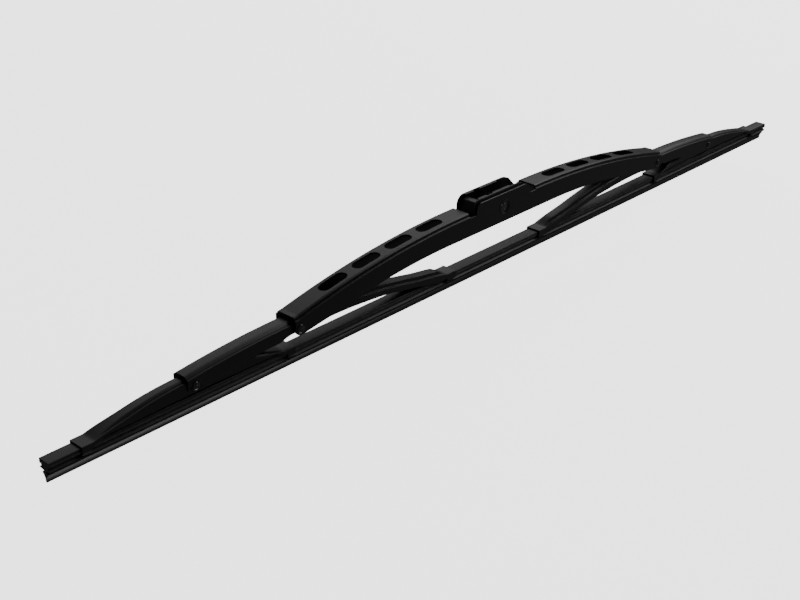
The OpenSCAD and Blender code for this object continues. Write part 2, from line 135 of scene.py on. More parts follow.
class Finishes(bpy.types.PropertyGroup):
    """Colours of the finishes."""

    paint: bpy.props.FloatVectorProperty(
        name="Paint", description="Satin black powder coat of the pressed steel",
        default=(0.0032, 0.0032, 0.0035), subtype="COLOR", min=0.0, max=1.0)
    plastic: bpy.props.FloatVectorProperty(
        name="Plastic", description="Moulded plastic of the adapter and the liners",
        default=(0.004, 0.004, 0.0042), subtype="COLOR", min=0.0, max=1.0)
    rubber: bpy.props.FloatVectorProperty(
        name="Rubber", description="Graphite-coated rubber of the strip",
        default=(0.0085, 0.0085, 0.009), subtype="COLOR", min=0.0, max=1.0)
    steel: bpy.props.FloatVectorProperty(
        name="Steel", description="Blackened spring steel of the rails and the pin",
        default=(0.03, 0.03, 0.031), subtype="COLOR", min=0.0, max=1.0)
    floor: bpy.props.FloatVectorProperty(
        name="Floor", description="Plain pale studio floor",
        default=(1.0, 1.0, 1.0), subtype="COLOR", min=0.0, max=1.0)


def sizes():
    """The sizes as the user has set them, in metres."""
    return bpy.context.scene.wiper_sizes


def finishes():
    """The colours as the user has set them."""
    return bpy.context.scene.wiper_finishes


# Curves that the solids and the surfaces share


def arc_drop(d, r):
    """How far a circle of radius r falls away at distance d from its top: r - sqrt(r^2 - d^2)."""
    return r - np.sqrt(np.maximum(r * r - d * d, 0.0))


def smooth(t):
    """A step from 0 to 1 with level ends: 3 t^2 - 2 t^3."""
    t = np.clip(t, 0.0, 1.0)
    return t * t * (3 - 2 * t)


def arc(centre, radius, start, stop, count):
    """Points of a circle's arc: the centre plus radius times (cos a, sin a), a running from start to stop."""
    a = np.radians(np.linspace(start, stop, count))
    return np.stack([centre[0] + radius * np.cos(a), centre[1] + radius * np.sin(a)], 1)


def bridge_crest(x):
    """Height of the bridge's back: level in the middle, a circle's arc, and a flatter lip at each mouth."""
    d = np.abs(x)
    top = MAIN_PIVOT[1] + MOUTH_RISE + arc_drop(BRIDGE_END - BRIDGE_FLAT, BRIDGE_R)
    lip = LIP_SLOPE * np.maximum(d - LIP_START, 0.0)
    return top - arc_drop(np.maximum(d - BRIDGE_FLAT, 0.0), BRIDGE_R) + lip


# Meshes


class Patches:
    """Grids of points that become one mesh. A grid is an array of rows by columns by XYZ."""

    def __init__(self):
        self.points, self.faces, self.count = [], [], 0

    def grid(self, p, wrap_rows=False, wrap_columns=False, flip=False):
        """Adds a grid: each face joins a point to its neighbours in the next row and column."""
        rows, columns = p.shape[:2]
        index = np.arange(rows * columns).reshape(rows, columns) + self.count
        if wrap_rows:
            index = np.vstack([index, index[:1]])
        if wrap_columns:
            index = np.hstack([index, index[:, :1]])
        a, b = index[:-1, :-1], index[1:, :-1]
        c, d = index[1:, 1:], index[:-1, 1:]
        quads = np.stack([a, b, c, d], -1).reshape(-1, 4)
        self.faces.append(quads[:, ::-1] if flip else quads)
        self.points.append(p.reshape(-1, 3))
        self.count += rows * columns
        return self

    def sheet(self, outer, inner, there):
        """Adds a sheet between two grids: faces of both where there holds, and a rim on every open edge.
        An edge is open where only one of the two cells beside it is there."""
        rows, columns = outer.shape[:2]
        index = np.arange(rows * columns).reshape(rows, columns) + self.count
        under = index + rows * columns
        low, high = slice(None, -1), slice(1, None)
        corners = ((low, low), (high, low), (high, high), (low, high))
        self.faces.append(np.stack([index[c][there] for c in corners], -1))
        self.faces.append(np.stack([under[c][there] for c in reversed(corners)], -1))
        framed = np.pad(there, 1).astype(int)
        rim = ((index, low), (index, high), (under, high), (under, low))
        ends = np.diff(framed, axis=0)[:, 1:-1] != 0
        self.faces.append(np.stack([grid[:, part][ends] for grid, part in rim], -1))
        sides = np.diff(framed, axis=1)[1:-1, :] != 0
        self.faces.append(np.stack([grid[part, :][sides] for grid, part in rim], -1))
        self.points.extend([outer.reshape(-1, 3), inner.reshape(-1, 3)])
        self.count += 2 * rows * columns
        return self

    def cap(self, ring):
        """Closes a flat ring of points with one face."""
        self.faces.append((np.arange(len(ring)) + self.count)[None, :])
        self.points.append(np.asarray(ring))
        self.count += len(ring)
        return self

    def mesh(self, name, weld=0.01, turn_out=False):
        """The mesh in metres. Points closer than weld millimetres are merged, edges shorter than a fifth of
        that go, and the faces are turned outwards where asked."""
        data = bpy.data.meshes.new(name)
        faces = [f for block in self.faces for f in block.tolist()]
        data.from_pydata((np.concatenate(self.points) * MM).tolist(), [], faces)
        work = bmesh.new()
        work.from_mesh(data)
        bmesh.ops.delete(work, geom=[v for v in work.verts if not v.link_faces], context="VERTS")
        bmesh.ops.remove_doubles(work, verts=work.verts, dist=weld * MM)
        bmesh.ops.dissolve_degenerate(work, dist=weld * MM * 0.2, edges=work.edges)
        if turn_out:
            bmesh.ops.recalc_face_normals(work, faces=work.faces)
        work.to_mesh(data)
        work.free()
        return data


def add_piece(name, data, body, nodes, material, crease=32.0):
    """Puts a finished mesh into the scene, smooth except over creases, riding on a body."""
    data.shade_smooth()
    data.set_sharp_from_angle(angle=math.radians(crease))
    piece = bpy.data.objects.new(name, data)
    bpy.context.scene.collection.objects.link(piece)
    data.materials.append(material)
    if nodes:
        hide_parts(*nodes)
    if body:
        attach(piece, body)
    return piece


def solidify(piece, thickness):
    """Gives an open sheet its thickness on the inner side."""
    wall = piece.modifiers.new("Sheet", "SOLIDIFY")
    wall.thickness = thickness
    wall.offset = -1.0
    wall.use_even_offset = True
    wall.thickness_clamp = 0.0


def bevel(piece, name, width, segments, angle):
    """Rounds the edges that turn by more than an angle in degrees."""
    edge = piece.modifiers.new(name, "BEVEL")
    edge.width = width
    edge.segments = segments
    edge.limit_method = "ANGLE"
    edge.angle_limit = math.radians(angle)
    edge.harden_normals = True
    edge.use_clamp_overlap = True


def round_cuts(piece, burr):
    """Rounds the sharp edges that blanking leaves on a sheet."""
    bevel(piece, "Cut edges", burr, 2, 55)


def lathe(profile, count, centre):
    """A profile of (radius, height) turned about an axis along Y: x = r cos a, z = r sin a, y = height."""
    a = np.linspace(0, 2 * math.pi, count, endpoint=False)
    r, h = profile[:, 0], profile[:, 1]
    grid = np.empty((count, len(profile), 3))
    grid[..., 0] = centre[0] + np.outer(np.cos(a), r)
    grid[..., 1] = centre[1] + h
    grid[..., 2] = centre[2] + np.outer(np.sin(a), r)
    return grid


# Shaders


class Value:
    """A shader socket that takes part in Python arithmetic."""

    def __init__(self, shader, socket):
        self.shader, self.socket = shader, socket

    def _math(self, operation, a, b=0.0):
        return self.shader.node("ShaderNodeMath", {"operation": operation}, {0: a, 1: b})

    def __add__(self, other):
        return self._math("ADD", self, other)

    def __radd__(self, other):
        return self._math("ADD", other, self)

    def __sub__(self, other):
        return self._math("SUBTRACT", self, other)

    def __rsub__(self, other):
        return self._math("SUBTRACT", other, self)

    def __mul__(self, other):
        return self._math("MULTIPLY", self, other)

    def __rmul__(self, other):
        return self._math("MULTIPLY", other, self)

    def clamped(self):
        return self._math("MINIMUM", self._math("MAXIMUM", self, 0.0), 1.0)


class Shader:
    """One material's node tree."""

    def __init__(self, name):
        self.material = bpy.data.materials.new(name)
        self.material.use_nodes = True
        self.tree = self.material.node_tree
        self.tree.nodes.clear()

    def node(self, kind, settings=None, sockets=None, output=0):
        """Makes one node: its settings first, then the values or links of its sockets. Returns an output."""
        made = self.tree.nodes.new(kind)
        for key, value in (settings or {}).items():
            setattr(made, key, value)
        for key, value in (sockets or {}).items():
            if isinstance(value, Value):
                self.tree.links.new(value.socket, made.inputs[key])
            else:
                made.inputs[key].default_value = value
        return Value(self, made.outputs[output]) if made.outputs else None

    def noise(self, scale, detail=3.0, stretch=(1.0, 1.0, 1.0), rough=0.55):
        """Noise on Object coordinates, scale in features per metre, stretched along the axes."""
        place = self.node("ShaderNodeTexCoord", output="Object")
        place = self.node("ShaderNodeMapping", None, {"Vector": place, "Scale": stretch})
        return self.node("ShaderNodeTexNoise", None,
                         {"Vector": place, "Scale": scale, "Detail": detail, "Roughness": rough})

    def finish(self, colour, roughness, bump=None, strength=0.1, distance=0.0001, **fixed):
        """Ends the tree in a Principled shader and returns the material."""
        sockets = {"Base Color": colour, "Roughness": roughness}
        if bump is not None:
            sockets["Normal"] = self.node("ShaderNodeBump", None,
                                          {"Strength": strength, "Distance": distance, "Height": bump})
        sockets.update({key.replace("_", " "): value for key, value in fixed.items()})
        surface = self.node("ShaderNodeBsdfPrincipled", None, sockets)
        self.node("ShaderNodeOutputMaterial", None, {"Surface": surface})
        return self.material

    def tint(self, factor, dark, light):
        """A colour between dark and light, mixed by factor. The node's colours are sockets 6 and 7."""
        return self.node("ShaderNodeMix", {"data_type": "RGBA"},
                         {0: factor, 6: (*dark, 1.0), 7: (*light, 1.0)}, output=2)


def scaled(colour, k):
    """A colour k times as bright, no channel above 1."""
    return tuple(min(1.0, c * k) for c in colour)


def satin_paint():
    """Satin powder coat: fine orange peel, faint cloudy variation in gloss and depth of black."""
    s = Shader("satin_paint")
    cloud = s.noise(38.0, 4.0, (0.35, 1.0, 1.0))
    peel = s.noise(1500.0, 2.0)
    grain = s.noise(5200.0, 1.0)
    paint = tuple(finishes().paint)
    colour = s.tint((cloud * 1.6 - 0.3).clamped(), scaled(paint, 0.72), scaled(paint, 1.35))
    roughness = cloud * 0.10 + grain * 0.05 + 0.30
    return s.finish(colour, roughness, peel * 0.8 + grain * 0.2, 0.16, 0.00006,
                    Specular_IOR_Level=0.5)


def moulded_plastic():
    """Glass-filled plastic: fine spark-eroded texture and a soft sheen."""
    s = Shader("moulded_plastic")
    texture = s.noise(3200.0, 2.0)
    cloud = s.noise(90.0, 3.0)
    plastic = tuple(finishes().plastic)
    colour = s.tint(cloud, scaled(plastic, 0.8), scaled(plastic, 1.25))
    return s.finish(colour, texture * 0.12 + cloud * 0.08 + 0.32, texture, 0.2, 0.00005,
                    Specular_IOR_Level=0.5)


def coated_rubber():
    """Extruded rubber: long faint drawing lines and a graphite haze."""
    s = Shader("coated_rubber")
    lines = s.noise(900.0, 2.0, (0.012, 1.0, 1.0))
    haze = s.noise(55.0, 4.0, (0.3, 1.0, 1.0))
    speck = s.noise(4200.0, 1.0)
    rubber = tuple(finishes().rubber)
    colour = s.tint((haze * 1.8 - 0.4).clamped(), scaled(rubber, 0.75), scaled(rubber, 1.5))
    return s.finish(colour, haze * 0.12 + speck * 0.06 + 0.36, lines * 0.7 + speck * 0.3, 0.22, 0.00006,
                    Specular_IOR_Level=0.5)


def black_steel():
    """Blackened spring steel with drawing lines along the blade."""
    s = Shader("black_steel")
    lines = s.noise(2200.0, 2.0, (0.02, 1.0, 1.0))
    cloud = s.noise(120.0, 3.0)
    steel = tuple(finishes().steel)
    colour = s.tint(cloud, scaled(steel, 0.7), scaled(steel, 1.3))
    return s.finish(colour, lines * 0.12 + cloud * 0.10 + 0.30, lines, 0.15, 0.00004, Metallic=0.35)


def bright_black():
    """Black oxide on turned steel: smoother than the paint, with faint wear."""
    s = Shader("bright_black")
    wear = s.noise(400.0, 3.0)
    grain = s.noise(6000.0, 1.0)
    black = tuple(finishes().paint)
    colour = s.tint(wear, scaled(black, 0.8), scaled(black, 1.6))
    return s.finish(colour, wear * 0.08 + grain * 0.04 + 0.12, grain, 0.05, 0.00003, Specular_IOR_Level=1.0)


MAKERS = {"satin_paint": satin_paint, "moulded_plastic": moulded_plastic, "coated_rubber": coated_rubber,
          "black_steel": black_steel, "bright_black": bright_black}
MADE = {}


def material(name):
    """The named finish, made once."""
    if name not in MADE:
        MADE[name] = MAKERS[name]()
    return MADE[name]


# Bridge


def bridge_low(x):
    """Lower edge of the bridge's wall: level, a circle's arc, a straight slope that hangs a little between
    its ends, and a round ear."""
    flat, knee, radius = 45.0, 100.0, 450.0
    hang, hang_depth = 130.0, 0.15
    neck, neck_z, ear_z, ear_drop = 151.0, 19.6, 19.1, 0.3
    d, bottom = np.abs(x), bridge_crest(0.0) - BRIDGE_DEPTH
    belly = bottom - arc_drop(np.clip(d - flat, 0.0, knee - flat), radius)
    knee_z = bottom - arc_drop(knee - flat, radius)
    hang_z = np.interp(hang, [knee, neck], [knee_z, neck_z]) - hang_depth
    slope = np.interp(d, [knee, hang, neck, EAR_START], [knee_z, hang_z, neck_z, ear_z])
    ear = MAIN_PIVOT[1] - ear_drop - np.sqrt(np.maximum(EAR_R ** 2 - (d - MAIN_PIVOT[0]) ** 2, 0.0))
    return np.where(d > EAR_START, ear, np.where(d <= knee, belly, slope))


def window_top(x):
    """Upper edge of the wall beside the window: a sill, and a cheek with one small and one large corner."""
    top, sill = bridge_crest(0.0) + CHEEK_RISE, bridge_crest(0.0) - SILL_DROP
    radius = np.where(x < 0.0, *CHEEK_CORNERS)
    into = np.clip(np.abs(x) - CHEEK + radius, 0.0, radius)
    return np.where(np.abs(x) > CHEEK, sill, top - arc_drop(into, radius))


def bridge_stations():
    """Stations along one half of the bridge beyond the window, close together at the ear."""
    ear = BRIDGE_END - EAR_R * (1 - np.cos(np.radians(np.linspace(90, 0, 14))))
    return np.unique(np.round(np.concatenate([[WINDOW], np.arange(30.1, 154.1, 1.0), ear]), 4))


def dished(points, centre, outer=4.8, inner=3.7, depth=0.6):
    """Presses a round flat-bottomed dish into the wall round the centre pin."""
    r = np.hypot(points[..., 0] - centre[0], points[..., 2] - centre[1])
    push = depth * smooth((outer - r) / (outer - inner))
    points[..., 1] -= np.sign(points[..., 1]) * push
    return points


class WIPER_OT_bridge(bpy.types.Operator):
    """Pressed steel bridge with its raised panel, slots, window and ears"""

    bl_idname = "wiper.bridge"
    bl_label = "Bridge"

    # half width of the raised panel
    panel = 6.24
    # how far the slots lie outwards from the middle of their pitch, on the left and on the right arm
    shift = {-1.0: 0.7, 1.0: -0.2}

    def execute(self, context):
        made = Patches()
        section = self.shoulder()
        flat = section[0, 0]
        near = SLOT_FIRST - 0.5 * SLOT_PITCH + 0.05
        far = SLOT_FIRST + (SLOTS - 0.5) * SLOT_PITCH - 0.05
        for end in (-1.0, 1.0):
            x = end * bridge_stations()
            for side in (-1.0, 1.0):
                self.flank(made, x, section, side, end * side < 0)
            self.panel_grid(made, x[np.abs(x) < near], flat, end)
            self.panel_grid(made, x[np.abs(x) > far], flat, end)
            for k in range(SLOTS):
                self.slot_grid(made, end, SLOT_FIRST + SLOT_PITCH * k, flat)
        self.window_walls(made)
        data = made.mesh("bridge_shell", weld=0.03)
        piece = add_piece("bridge_shell", data, "bridge", ["primary_bridge"],
                          material("satin_paint"))
        solidify(piece, sizes().bridge_sheet)
        # the bridge's thicker sheet has rounder cut edges
        round_cuts(piece, 1.4 * sizes().burr)
        return {"FINISHED"}

    def shoulder(self):
        """Half section from the panel's flat to the wall, as (y, drop below the crest)."""
        r, c, foot = sizes().panel_radius / MM, sizes().ledge_radius / MM, 0.12
        return np.concatenate([
            arc((self.panel - r, -r), r, 90, 0, 7),
            arc((self.panel + foot, foot - LEDGE_DROP), foot, 180, 270, 4),
            arc((BRIDGE_HALF - c, -LEDGE_DROP - c), c, 90, 0, 6)])

    def flank(self, made, x, section, side, turn):
        """One side of an arm. Panel edge, foot and ledge: the half section carried along the crest. Wall:
        straight down from the ledge to the lower edge."""
        p = np.empty((len(x), len(section), 3))
        p[..., 0] = x[:, None]
        p[..., 1] = side * section[:, 0]
        p[..., 2] = bridge_crest(x)[:, None] + section[:, 1]
        made.grid(p, flip=turn)
        rows, high = np.linspace(0, 1, 30), p[:, -1, 2]
        low = np.minimum(bridge_low(x), high - 0.05)
        w = np.empty((len(x), len(rows), 3))
        w[..., 0] = x[:, None]
        w[..., 1] = side * BRIDGE_HALF
        w[..., 2] = high[:, None] + (low - high)[:, None] * rows
        made.grid(w, flip=turn)

    def panel_grid(self, made, x, flat, end):
        """Plain stretch of the panel, from edge to edge at each station."""
        y = np.linspace(-flat, flat, 13)
        p = np.empty((len(x), len(y), 3))
        p[..., 0] = x[:, None]
        p[..., 1] = y
        p[..., 2] = bridge_crest(p[..., 0])
        made.grid(p, flip=end < 0)

    def slot_grid(self, made, end, centre, flat):
        """Panel round one slot: rings that go from a rectangle to the slot's rounded outline.
        Each point of the rectangle moves straight towards the slot's middle line."""
        half, straight, r, shift = 0.5 * SLOT_PITCH, 5.55, 3.55, self.shift[end]
        u, v = np.linspace(-half, half, 25), np.linspace(-flat, flat, 13)
        along, across = len(u) - 1, len(v) - 1
        edge = np.concatenate([
            np.stack([u[:-1], np.full(along, -flat)], 1), np.stack([np.full(across, half), v[:-1]], 1),
            np.stack([u[:0:-1], np.full(along, flat)], 1), np.stack([np.full(across, -half), v[:0:-1]], 1)])
        middle = np.stack([np.clip(edge[:, 0], shift - straight, shift + straight), np.zeros(len(edge))], 1)
        out = edge - middle
        hole = middle + r * out / np.linalg.norm(out, axis=1)[:, None]
        t = np.array([0.0, 0.35, 0.7, 0.92, 1.0])[:, None, None]
        ring = edge * (1 - t) + hole * t
        p = np.empty(ring.shape[:2] + (3,))
        p[..., 0] = end * (centre + ring[..., 0])
        p[..., 1] = ring[..., 1]
        p[..., 2] = bridge_crest(p[..., 0])
        made.grid(p, wrap_columns=True, flip=end > 0)

    def window_walls(self, made):
        """Walls beside the window, up to the cheeks' outline, dished at the pin, with a rolled upper edge."""
        (small, large), jump, roll = CHEEK_CORNERS, 0.02, 0.28
        x = np.unique(np.round(np.concatenate([
            np.linspace(-WINDOW, -CHEEK - jump, 8),
            small * (1 - np.cos(np.radians(np.linspace(0, 90, 12)))) - CHEEK,
            np.linspace(small - CHEEK, -6, 15), np.linspace(-6, 6, 49), np.linspace(6, CHEEK - large, 13),
            CHEEK - large * (1 - np.sin(np.radians(np.linspace(0, 90, 14)))),
            np.linspace(CHEEK + jump, WINDOW, 8)]), 4))
        join = bridge_crest(0.0) - LEDGE_DROP - sizes().ledge_radius / MM
        top, low = np.where(np.abs(x) > WINDOW - 0.5, join, window_top(x)), bridge_low(x)
        rows = np.concatenate([np.linspace(0, 0.75, 50), np.linspace(0.75, 1, 8)[1:]])
        for side in (-1.0, 1.0):
            p = np.empty((len(x), len(rows), 3))
            p[..., 0] = x[:, None]
            p[..., 1] = side * BRIDGE_HALF
            p[..., 2] = top[:, None] + (low - top)[:, None] * rows
            p[1:-1, 0, 1] -= side * roll
            made.grid(dished(p, (0.0, PIN_Z)), flip=side < 0)


# Yokes


def yoke_section(w, crest, rise, floor_z, step, depth):
    """Half section of a yoke as (y, z): a crown, a narrow ledge, a rounded corner and a wall down to floor_z,
    then the rest of a claw's wall, a bend and a finger. The crown's height over the ledge is rise times a mix
    of a round and a stepped form: the cosine of a quarter turn over its half width, and a level top with one
    steep side. Depth moves the section into the sheet."""
    least = 0.04
    r, bend = max(sizes().yoke_radius / MM - depth, least), max(CLAW_BEND - depth, least)
    edge, side = w - 0.95 - 0.35 * step, 1.35 - 0.5 * step
    ledge = crest - rise
    y = np.concatenate([np.linspace(0, edge - side, 5)[:-1], edge - side * np.linspace(1, 0, 13)])
    round_form = np.cos(0.5 * math.pi * (y / edge) ** 3)
    form = (1 - step) * round_form + step * (1 - smooth((y - edge + side) / side))
    crown = np.stack([y, ledge + rise * form - depth], 1)
    corner = arc((w - depth - r, ledge - depth - r), r, 90, 0, 6)
    wall = np.stack([np.full(12, w - depth), np.linspace(corner[-1, 1], floor_z, 13)[1:]], 1)
    turn = arc((w - depth - bend, CLAW_FLOOR + depth + bend), bend, 0, -90, 6)
    finger = np.stack([np.linspace(w - CLAW_BEND, FINGER_TIP, 4)[1:], np.full(3, CLAW_FLOOR + depth)], 1)
    return np.concatenate([crown, corner, wall, turn, finger])


def yoke_mesh(name, stations, claw, profile, x0, turn):
    """A yoke's sheet: its section carried along the stations and mirrored across the blade, as an outer and
    an inner grid. Where claw is 0 the grids stop at the wall's lower edge."""
    grids = []
    for depth in (0.0, sizes().yoke_sheet / MM):
        halves = np.array([yoke_section(*row, depth) for row in zip(*profile)])
        full = np.concatenate([halves[:, :0:-1] * [-1, 1], halves], 1)
        p = np.empty(full.shape[:2] + (3,))
        p[..., 0] = (x0 + turn * stations)[:, None]
        p[..., 1:] = full
        grids.append(p)
    cells, claw_cells = grids[0].shape[1] - 1, 9
    there = np.ones((len(stations) - 1, cells), bool)
    bare = (claw[1:] * claw[:-1]) < 1
    there[np.ix_(bare, np.r_[0:claw_cells, cells - claw_cells:cells])] = False
    return Patches().sheet(*grids, there).mesh(name, weld=0.004, turn_out=True)


def add_yokes(level, stations, claw, profile, x0):
    """The left and the right yoke of one level, each riding on its own body."""
    for name, side in SIDES:
        body = "{}_{}".format(name, level)
        label = body + "_yoke_shell"
        data = yoke_mesh(label, stations, claw, profile, side * x0, side)
        piece = add_piece(label, data, body, [body + "_yoke"], material("satin_paint"))
        round_cuts(piece, sizes().burr)


def mid_ledge(x):
    """Ledge of a middle yoke: two arcs that fall from a peak, and the flat top of the claw."""
    peak, peak_z = 155.0, 26.9
    arm = peak_z - arc_drop(np.abs(x - peak), np.where(x > peak, 560.0, 425.0))
    level = np.where(x < MID_CLAW[1], CLAW_TOP, np.maximum(arm, CLAW_TOP))
    return level - 1.5 * smooth((x - MID_CLAW[1]) / 26.0)


def mid_floor(x):
    """Lower edge of a middle yoke's wall: straight lines between the pairs of x and height below, then a
    round ear at the tip rivet and a short rise to the end."""
    line = np.array([
        [44.4, 9.76], [45.1, 9.7], [48.4, 9.61], [58.4, 11.01], [80, 15.4], [94.4, 17.8], [112, 19.4],
        [120, 19.95], [130, 20.3], [139, 20.4], [146, 20.35], [152, 20.3], [161, 20.3], [164, 19.7],
        [167, 18.65], [172, 18.4], [178, 18.4], [188.6, 17.2], [218.0, 14.42]])
    low = np.interp(x, line[:, 0], line[:, 1])
    ear, slope, d = TIP_EAR_R, 0.9, x - TIP_PIVOT[0]
    low = np.where(d > -ear, TIP_PIVOT[1] - np.sqrt(np.maximum(ear ** 2 - d ** 2, 0)), low)
    return np.where(d > ear, TIP_PIVOT[1] + (d - ear) * slope, low)


class WIPER_OT_middle_yokes(bpy.types.Operator):
    """Pressed steel middle yokes, each with one claw"""

    bl_idname = "wiper.middle_yokes"
    bl_label = "Middle yokes"

    def execute(self, context):
        tip, claw_end = TIP_PIVOT[0], MID_CLAW[1]
        x = np.unique(np.round(np.concatenate([
            np.linspace(*MID_CLAW, 10), claw_end + np.array([0.15, 0.3, 0.45, 0.6, 0.8, 1.2, 2, 3, 4]),
            np.arange(50, 218, 1.2), tip + TIP_EAR_R * np.sin(np.radians(np.linspace(-80, 90, 18))),
            np.linspace(tip + 2.9, tip + 4.4, 6)]), 4))
        widening, over = 0.8, 103.6
        width = CLAW_HALF + widening * np.clip((x - claw_end) / over, 0, 1)
        rise = 1.9 * smooth((x - claw_end) / 7.0) - 0.4 * smooth((x - 95.0) / 35.0)
        step = 1.0 - smooth((x - 100.0) / 45.0)
        profile = (width, mid_ledge(x) + rise, rise, mid_floor(x), step)
        add_yokes("middle", x, x <= claw_end + 0.001, profile, 0.0)
        return {"FINISHED"}


class WIPER_OT_end_yokes(bpy.types.Operator):
    """Pressed steel end yokes with a claw at each end"""

    bl_idname = "wiper.end_yokes"
    bl_label = "End yokes"

    def execute(self, context):
        inner, outer = END_CLAW
        run_out = inner - np.array([1.6, 1.2, 0.8, 0.6, 0.45, 0.3, 0.15])
        half = np.concatenate([np.arange(0, 56.0, 1.2), run_out, np.linspace(inner, outer, 8)])
        d = np.unique(np.round(np.concatenate([-half, half]), 4))
        a = np.abs(d)
        slim, widening, level, over = 4.0, 0.75, 10.0, 44.05
        width = slim + widening * np.clip((a - level) / over, 0, 1)
        back_z, back_r = 20.7, 190.0
        crest = np.where(a > inner, CLAW_TOP, np.maximum(back_z - arc_drop(a, back_r), CLAW_TOP))
        rise = 1.2 * smooth((inner - a) / 22.0)
        low = np.interp(a, [0, inner - 7, inner - 4, inner - 0.7], [12.5, 12.46, 10.96, 9.76])
        add_yokes("end", d, a >= inner - 0.001, (width, crest, rise, low, np.zeros_like(a)), TIP_PIVOT[0])
        return {"FINISHED"}


# Rivets and pin


class WIPER_OT_rivets(bpy.types.Operator):
    """Domed rivets at the pivots and the staked pin across the window"""

    bl_idname = "wiper.rivets"
    bl_label = "Rivets and pin"

    def execute(self, context):
        for name, side in SIDES:
            self.rivet(name + "_main_rivet", side, MAIN_PIVOT, (BRIDGE_HALF, 1.5, 2.3), "bridge")
            self.rivet(name + "_tip_rivet", side, TIP_PIVOT, (YOKE_HALF, 1.2, 2.1), name + "_middle")
        self.pin()
        return {"FINISHED"}

    def rivet(self, node, side, pivot, measures, body):
        """A shank with a domed head on each end, pressed in at its middle: the head's height falls as the
        square root of one minus its radius squared, less a bell curve of the radius. The measures are the
        distance to the wall, the shank's radius and the head's."""
        wall, shank, head = measures
        lift, rise, dimple, spread = 0.12, 0.78, 0.42, 0.55
        a = np.radians(np.linspace(0, 90, 30))
        r = head * np.cos(a)
        dome = np.stack([r, wall + lift + rise * np.sin(a) - dimple * np.exp(-(r / spread) ** 2)], 1)
        half = np.concatenate([[[shank, 0.0], [shank, wall], [head - 0.05, wall]], dome])
        half[-1, 0] = 0.0
        profile = np.concatenate([(half[1:] * [1, -1])[::-1], half])
        grid = lathe(profile, 40, (side * pivot[0], 0.0, pivot[1]))
        data = Patches().grid(grid, wrap_rows=True).mesh(node, FINE_WELD, turn_out=True)
        add_piece(node + "_turned", data, body, [node], material("bright_black"))

    def pin(self):
        """A shank whose ends are shallow domes with a ring and three punch marks pressed in.
        Each mark is a bell curve of the distance from its middle."""
        head, face, crown, shank = 3.5, 6.82, 0.5, 2.5
        ring, ring_width, ring_depth = 2.55, 0.22, 0.14
        mark, mark_spread, mark_depth = 2.3, 0.4, 0.75
        r = np.linspace(0, head, 26)
        a = np.linspace(0, 2 * math.pi, 72, endpoint=False)
        x, z = np.outer(np.cos(a), r), np.outer(np.sin(a), r)
        h = face + crown * np.sqrt(np.clip(1 - (r / head) ** 2, 0, 1)) ** 0.6
        h = np.repeat(h[None, :], len(a), 0)
        h -= ring_depth * np.exp(-((np.hypot(x, z) - ring) / ring_width) ** 2)
        for angle in (62, 128, 275):
            mx, mz = mark * math.cos(math.radians(angle)), mark * math.sin(math.radians(angle))
            h -= mark_depth * np.exp(-((x - mx) ** 2 + (z - mz) ** 2) / mark_spread)
        made = Patches()
        for side in (-1.0, 1.0):
            made.grid(np.stack([x, side * h, z + PIN_Z], -1), wrap_rows=True)
        stem = np.array([[head, -face], [shank, 0.02 - face], [shank, face - 0.02], [head, face]])
        made.grid(lathe(stem, len(a), (0.0, 0.0, PIN_Z)), wrap_rows=True)
        data = made.mesh("centre_pin_staked", FINE_WELD, turn_out=True)
        add_piece("centre_pin_staked", data, "bridge", ["centre_pin"], material("bright_black"))


# Rubber strip and rails


def strip_section():
    """Half section of the strip as (y, z), from the top of the head down to the wiping edge."""
    head = np.concatenate([[[0.0, STRIP_H]], arc((3.35, STRIP_H - 0.5), 0.5, 90, 0, 6), [[3.85, 10.12]]])
    groove = np.array([[3.8, 10.06], [1.65, 10.06], [1.65, 9.26], [3.8, 9.26], [3.85, 9.2]])
    lower = np.array([[3.85, 8.86], [3.75, 8.76], [2.75, 8.76], [2.6, 8.6], [2.6, 7.7], [2.7, 7.56]])
    flange = np.array([[3.85, 6.93], [4.0, 6.81], [4.0, 6.6], [3.85, 6.49]])
    web = np.array([[1.2, 6.06], [0.74, 5.86], [0.7, 5.66], [0.8, 5.5]])
    z = np.linspace(4.5, 0.3, 14)
    flank = np.stack([0.46 + 1.78 * (z / 4.5) ** 2.6, z], 1)
    shoulder = np.array([[2.1, 5.02], [2.3, 4.86], [2.32, 4.66]])
    edge = np.array([[0.4, 0.05], [0.34, 0.0], [0.0, 0.0]])
    return np.concatenate([head, groove, lower, flange, web, shoulder, flank, edge])


def bar(name, ring, xs):
    """A closed bar: a ring of (y, z) carried along X, with a flat face at each end."""
    p = np.empty((len(xs), len(ring), 3))
    p[..., 0] = xs[:, None]
    p[..., 1:] = ring
    return Patches().grid(p, wrap_columns=True).cap(p[0]).cap(p[-1]).mesh(name, FINE_WELD, turn_out=True)


def lay(label, node, ring, finish, crease=32.0):
    """Carries a ring along every stretch, with a station about every 2 mm. The first stretch replaces the
    node. A stretch without bodies rides on the end yoke; the others are baked where they are laid."""
    nodes = [node]
    for name, side in SIDES:
        for part, start, end, bodies in STRETCHES:
            xs = np.sort(side * np.linspace(start, end, max(8, int((end - start) / 2.0))))
            title = "{}_{}_{}".format(name, label, part)
            piece = add_piece(title, bar(title, ring, xs), None, nodes, material(finish), crease)
            nodes = []
            if bodies is None:
                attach(piece, name + "_end")
            else:
                side * start * MM
                side * end * MM
                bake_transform(piece)


class WIPER_OT_strip(bpy.types.Operator):
    """Extruded rubber strip, in stretches"""

    bl_idname = "wiper.strip"
    bl_label = "Rubber strip"

    def execute(self, context):
        half = strip_section()
        ring = np.concatenate([half, (half * [-1, 1])[-2:0:-1]])
        lay("strip", "rubber_strip", ring, "coated_rubber", 28.0)
        return {"FINISHED"}


